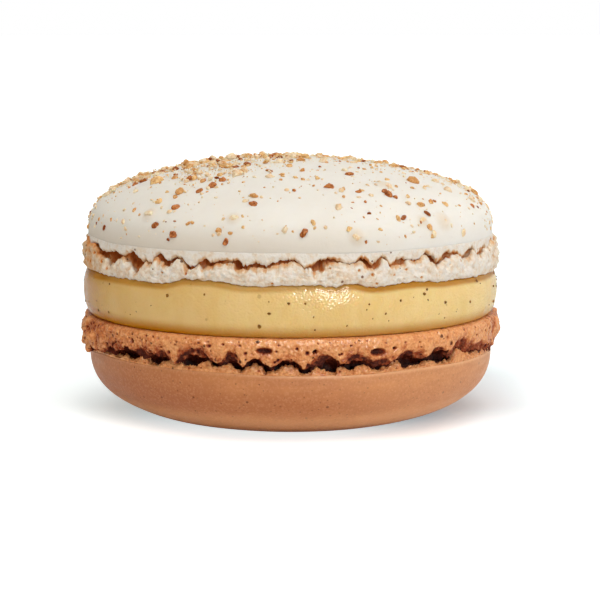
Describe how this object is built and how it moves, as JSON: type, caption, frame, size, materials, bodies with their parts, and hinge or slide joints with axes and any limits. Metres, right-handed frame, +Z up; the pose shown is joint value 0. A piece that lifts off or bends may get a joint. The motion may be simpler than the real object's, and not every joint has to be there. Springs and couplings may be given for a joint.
{
  "type": "french macaron",
  "caption": "A filled French macaron: a white almond shell with nut crumbs above, a speckled custard filling and a caramel shell below, each shell with a ruffled foot.",
  "frame": {"origin": "centre of the small flat spot that the lower shell rests on", "axes": "+Z up through the middle of both shells, from the caramel shell to the white one; +X and +Y level, with -Y the side that the filling's shine faces"},
  "size_m": [0.0457, 0.0452, 0.028],
  "materials": {
    "white_shell": "satin",
    "custard": "satin",
    "caramel_shell": "satin",
    "nut_crumbs": "rough"
  },
  "bodies": {
    "root": {"bottom_shell": "caramel_shell", "filling": "custard", "top_shell": "white_shell"}
  },
  "joints": []
}
